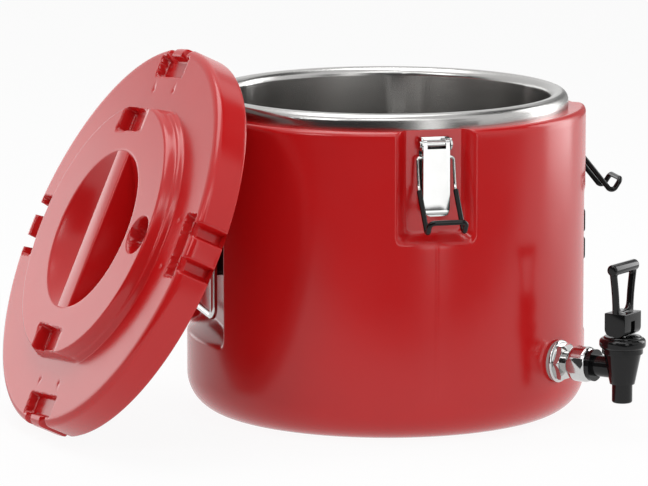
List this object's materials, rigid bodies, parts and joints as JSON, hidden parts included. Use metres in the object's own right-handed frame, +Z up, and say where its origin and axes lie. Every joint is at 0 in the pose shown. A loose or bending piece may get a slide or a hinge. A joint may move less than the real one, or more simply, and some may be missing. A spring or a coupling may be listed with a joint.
{
  "type": "insulated food container",
  "caption": "Double-wall insulated food container with a steel pot, toggle latches, drop handles and a lever tap; its loose clamp-on lid leans against the body.",
  "frame": {"origin": "on the axis of the round body, at the floor it stands on", "axes": "+Z up along the body axis, -Y out of the front latch, +X out of the right latch; the tap points between them"},
  "size_m": [0.5346, 0.4188, 0.3163],
  "materials": {
    "red_plastic": "satin",
    "foam": "matte",
    "brushed_steel": "satin",
    "bright_steel": "polished",
    "steel_wire": "satin",
    "black_coating": "satin",
    "black_plastic": "gloss",
    "grey_seal": "matte",
    "plated_brass": "polished"
  },
  "bodies": {
    "container": {"outer_shell": "red_plastic", "base_plate": "red_plastic", "body_insulation": "foam", "inner_pot": "brushed_steel", "latch_rivets": "bright_steel", "handle_screws": "bright_steel", "latch_base_front": "bright_steel", "latch_base_right": "bright_steel", "latch_base_back": "bright_steel", "latch_base_left": "bright_steel", "latch_pin_front": "bright_steel", "latch_pin_right": "bright_steel", "latch_pin_back": "bright_steel", "latch_pin_left": "bright_steel", "handle_bracket_right": "black_plastic", "handle_bracket_left": "black_plastic", "tap_gasket": "grey_seal", "tap_washer": "plated_brass", "tap_nut": "plated_brass", "tap_shank": "plated_brass", "tap_inner_gasket": "grey_seal", "tap_inner_nut": "plated_brass", "tap_collar": "plated_brass", "tap_body": "black_plastic", "tap_bonnet": "black_plastic"},
    "lid": {"lid_shell": "red_plastic", "lid_insulation": "foam", "lid_gasket": "grey_seal", "lid_vent_plug": "black_plastic"},
    "lever_front": {"latch_lever_front": "bright_steel"},
    "bail_front": {"latch_bail_front": "steel_wire", "bail_sleeve_front": "black_coating"},
    "lever_right": {"latch_lever_right": "bright_steel"},
    "bail_right": {"latch_bail_right": "steel_wire", "bail_sleeve_right": "black_coating"},
    "lever_back": {"latch_lever_back": "bright_steel"},
    "bail_back": {"latch_bail_back": "steel_wire", "bail_sleeve_back": "black_coating"},
    "lever_left": {"latch_lever_left": "bright_steel"},
    "bail_left": {"latch_bail_left": "steel_wire", "bail_sleeve_left": "black_coating"},
    "handle_right": {"handle_bail_right": "steel_wire"},
    "handle_left": {"handle_bail_left": "steel_wire"},
    "valve_stem": {"tap_stem": "steel_wire", "tap_seat_cup": "grey_seal", "tap_spring": "steel_wire"},
    "tap_lever": {"tap_lever": "black_plastic", "tap_lever_pin": "steel_wire"}
  },
  "joints": [
    {"name": "lid_lift", "type": "slide", "parent": "container", "child": "lid", "axis": [-0.889, -0.1424, 0.4352], "range_m": [0, 0.25]},
    {"name": "latch_lever_swing_front", "type": "hinge", "parent": "container", "child": "lever_front", "pos_m": [0, -0.164, 0.25], "axis": [-1, 0, 0], "range_deg": [0, 100]},
    {"name": "latch_bail_swing_front", "type": "hinge", "parent": "lever_front", "child": "bail_front", "pos_m": [0, -0.163, 0.239], "axis": [-1, 0, 0], "range_deg": [-10, 90]},
    {"name": "latch_lever_swing_right", "type": "hinge", "parent": "container", "child": "lever_right", "pos_m": [0.164, 0, 0.25], "axis": [0, -1, 0], "range_deg": [0, 100]},
    {"name": "latch_bail_swing_right", "type": "hinge", "parent": "lever_right", "child": "bail_right", "pos_m": [0.163, 0, 0.239], "axis": [0, -1, 0], "range_deg": [-10, 90]},
    {"name": "latch_lever_swing_back", "type": "hinge", "parent": "container", "child": "lever_back", "pos_m": [0, 0.164, 0.25], "axis": [1, 0, 0], "range_deg": [0, 100]},
    {"name": "latch_bail_swing_back", "type": "hinge", "parent": "lever_back", "child": "bail_back", "pos_m": [0, 0.163, 0.239], "axis": [1, 0, 0], "range_deg": [-10, 90]},
    {"name": "latch_lever_swing_left", "type": "hinge", "parent": "container", "child": "lever_left", "pos_m": [-0.164, 0, 0.25], "axis": [0, 1, 0], "range_deg": [0, 8]},
    {"name": "latch_bail_swing_left", "type": "hinge", "parent": "lever_left", "child": "bail_left", "pos_m": [-0.163, 0, 0.239], "axis": [0, 1, 0], "range_deg": [-2, 5]},
    {"name": "handle_swing_right", "type": "hinge", "parent": "container", "child": "handle_right", "pos_m": [0.1595, 0, 0.1475], "axis": [0, -1, 0], "range_deg": [0, 90]},
    {"name": "handle_swing_left", "type": "hinge", "parent": "container", "child": "handle_left", "pos_m": [-0.1595, 0, 0.1475], "axis": [0, 1, 0], "range_deg": [0, 80]},
    {"name": "valve_lift", "type": "slide", "parent": "container", "child": "valve_stem", "axis": [0, 0, 1], "range_m": [0, 0.0026], "stiffness_N_per_m": 300, "springref_m": -0.004, "deforming": ["tap_spring"]},
    {"name": "tap_lever_tilt", "type": "hinge", "parent": "valve_stem", "child": "tap_lever", "pos_m": [0.16039, -0.16901, 0.09205], "axis": [0.7254, 0.6884, 0], "range_deg": [0, 40]}
  ],
  "couplings": [
    {"joint": "tap_lever_tilt", "follows": "valve_lift", "rad_per_m": 268.51}
  ]
}
